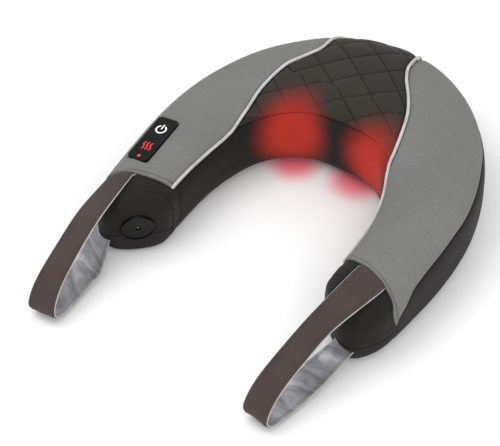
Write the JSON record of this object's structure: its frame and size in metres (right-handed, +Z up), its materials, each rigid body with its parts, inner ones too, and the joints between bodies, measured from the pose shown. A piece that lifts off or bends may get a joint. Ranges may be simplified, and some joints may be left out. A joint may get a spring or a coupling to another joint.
{
  "type": "neck massager",
  "caption": "U-shaped padded shiatsu neck massager with two rotating kneading heads, touch pad, power socket and a hand strap loop on each arm.",
  "frame": {"origin": "on the floor, under the middle of the whole object with its straps laid out", "axes": "+Z up, -Y towards the open side of the U and along the straps, +X across, so that the touch pad and the socket are on the arm at -X"},
  "size_m": [0.3962, 0.5369, 0.1019],
  "materials": {
    "grey_neoprene": "brushed grey neoprene",
    "pale_piping": "satin",
    "black_end_fabric": "smooth",
    "fibre_filling": "loose fibre",
    "gear_plastic": "moulded",
    "steel_shaft": "ground",
    "carrier_plastic": "moulded",
    "node_plastic": "polished",
    "zinc_screw": "plated",
    "circuit_board": "solder mask",
    "worm_brass": "machined",
    "brown_webbing": "woven",
    "silver_lining": "satin",
    "black_quilt": "quilted",
    "black_stretch": "smooth knit",
    "dark_band": "woven",
    "base_fabric": "woven",
    "foam": "open cell",
    "housing_plastic": "moulded",
    "bronze_bush": "sintered",
    "motor_steel": "plated",
    "red_lamp": "clear",
    "pad_gloss": "polished",
    "key_gloss": "polished",
    "socket_gloss": "polished",
    "lead_jacket": "smooth"
  },
  "bodies": {
    "root": {"base_cover": "base_fabric", "boxing_band": "dark_band", "click_switches": "carrier_plastic", "control_bezel": "pad_gloss", "control_board": "circuit_board", "front_foam_pad": "foam", "front_housing": "housing_plastic", "head_bushes": "bronze_bush", "housing_screws": "zinc_screw", "indicator_lens": "red_lamp", "inner_wall_cover": "black_stretch", "left_arm_filling": "fibre_filling", "left_end_cover": "black_end_fabric", "left_grey_panel": "grey_neoprene", "left_lamp_board": "circuit_board", "left_piping": "pale_piping", "left_strap_tab": "brown_webbing", "motor_can": "motor_steel", "motor_clamp": "housing_plastic", "motor_lead": "lead_jacket", "quilted_centre_panel": "black_quilt", "rear_foam_pad": "foam", "rear_housing": "housing_plastic", "red_lamps": "red_lamp", "right_arm_filling": "fibre_filling", "right_end_cover": "black_end_fabric", "right_grey_panel": "grey_neoprene", "right_lamp_board": "circuit_board", "right_piping": "pale_piping", "right_strap_tab": "brown_webbing", "shaft_bushes": "bronze_bush", "socket_bezel": "socket_gloss", "socket_body": "socket_gloss", "socket_lead": "lead_jacket", "socket_nut": "housing_plastic", "socket_pin": "worm_brass"},
    "motor_rotor": {"motor_shaft": "steel_shaft", "left_worm": "worm_brass", "right_worm": "worm_brass"},
    "power_key": {"power_button": "key_gloss"},
    "heat_key": {"heat_button": "key_gloss"},
    "left_head": {"left_worm_wheel": "gear_plastic", "left_output_shaft": "steel_shaft", "left_carrier": "carrier_plastic", "left_massage_nodes": "node_plastic", "left_carrier_screw": "zinc_screw"},
    "left_strap": {"left_strap_loop": "brown_webbing", "left_strap_lining": "silver_lining"},
    "right_head": {"right_worm_wheel": "gear_plastic", "right_output_shaft": "steel_shaft", "right_carrier": "carrier_plastic", "right_massage_nodes": "node_plastic", "right_carrier_screw": "zinc_screw"},
    "right_strap": {"right_strap_loop": "brown_webbing", "right_strap_lining": "silver_lining"}
  },
  "joints": [
    {"name": "left_head_spin", "type": "hinge", "parent": "root", "child": "left_head", "pos_m": [-0.05, 0.1565, 0.0595], "axis": [0, -0.7071, 0.7071], "continuous": true},
    {"name": "right_head_spin", "type": "hinge", "parent": "root", "child": "right_head", "pos_m": [0.05, 0.1565, 0.0595], "axis": [0, -0.7071, 0.7071], "continuous": true},
    {"name": "motor_spin", "type": "hinge", "parent": "root", "child": "motor_rotor", "pos_m": [0, 0.18422, 0.06742], "axis": [1, 0, 0], "continuous": true},
    {"name": "power_key_press", "type": "slide", "parent": "root", "child": "power_key", "axis": [0.1134, 0.0625, -0.9916], "range_m": [0, 0.0008], "stiffness_N_per_m": 600, "springref_m": -0.0005},
    {"name": "heat_key_press", "type": "slide", "parent": "root", "child": "heat_key", "axis": [0.1134, 0.0625, -0.9916], "range_m": [0, 0.0008], "stiffness_N_per_m": 600, "springref_m": -0.0005},
    {"name": "left_strap_swing", "type": "hinge", "parent": "root", "child": "left_strap", "pos_m": [-0.16614, -0.132, 0.07499], "axis": [-1, 0, 0], "range_deg": [0, 35]},
    {"name": "right_strap_swing", "type": "hinge", "parent": "root", "child": "right_strap", "pos_m": [0.1416, -0.13668, 0.07499], "axis": [-0.9781, 0.2079, 0], "range_deg": [0, 35]}
  ],
  "couplings": [
    {"joint": "right_head_spin", "follows": "left_head_spin", "ratio": -1},
    {"joint": "motor_spin", "follows": "left_head_spin", "ratio": -40}
  ]
}
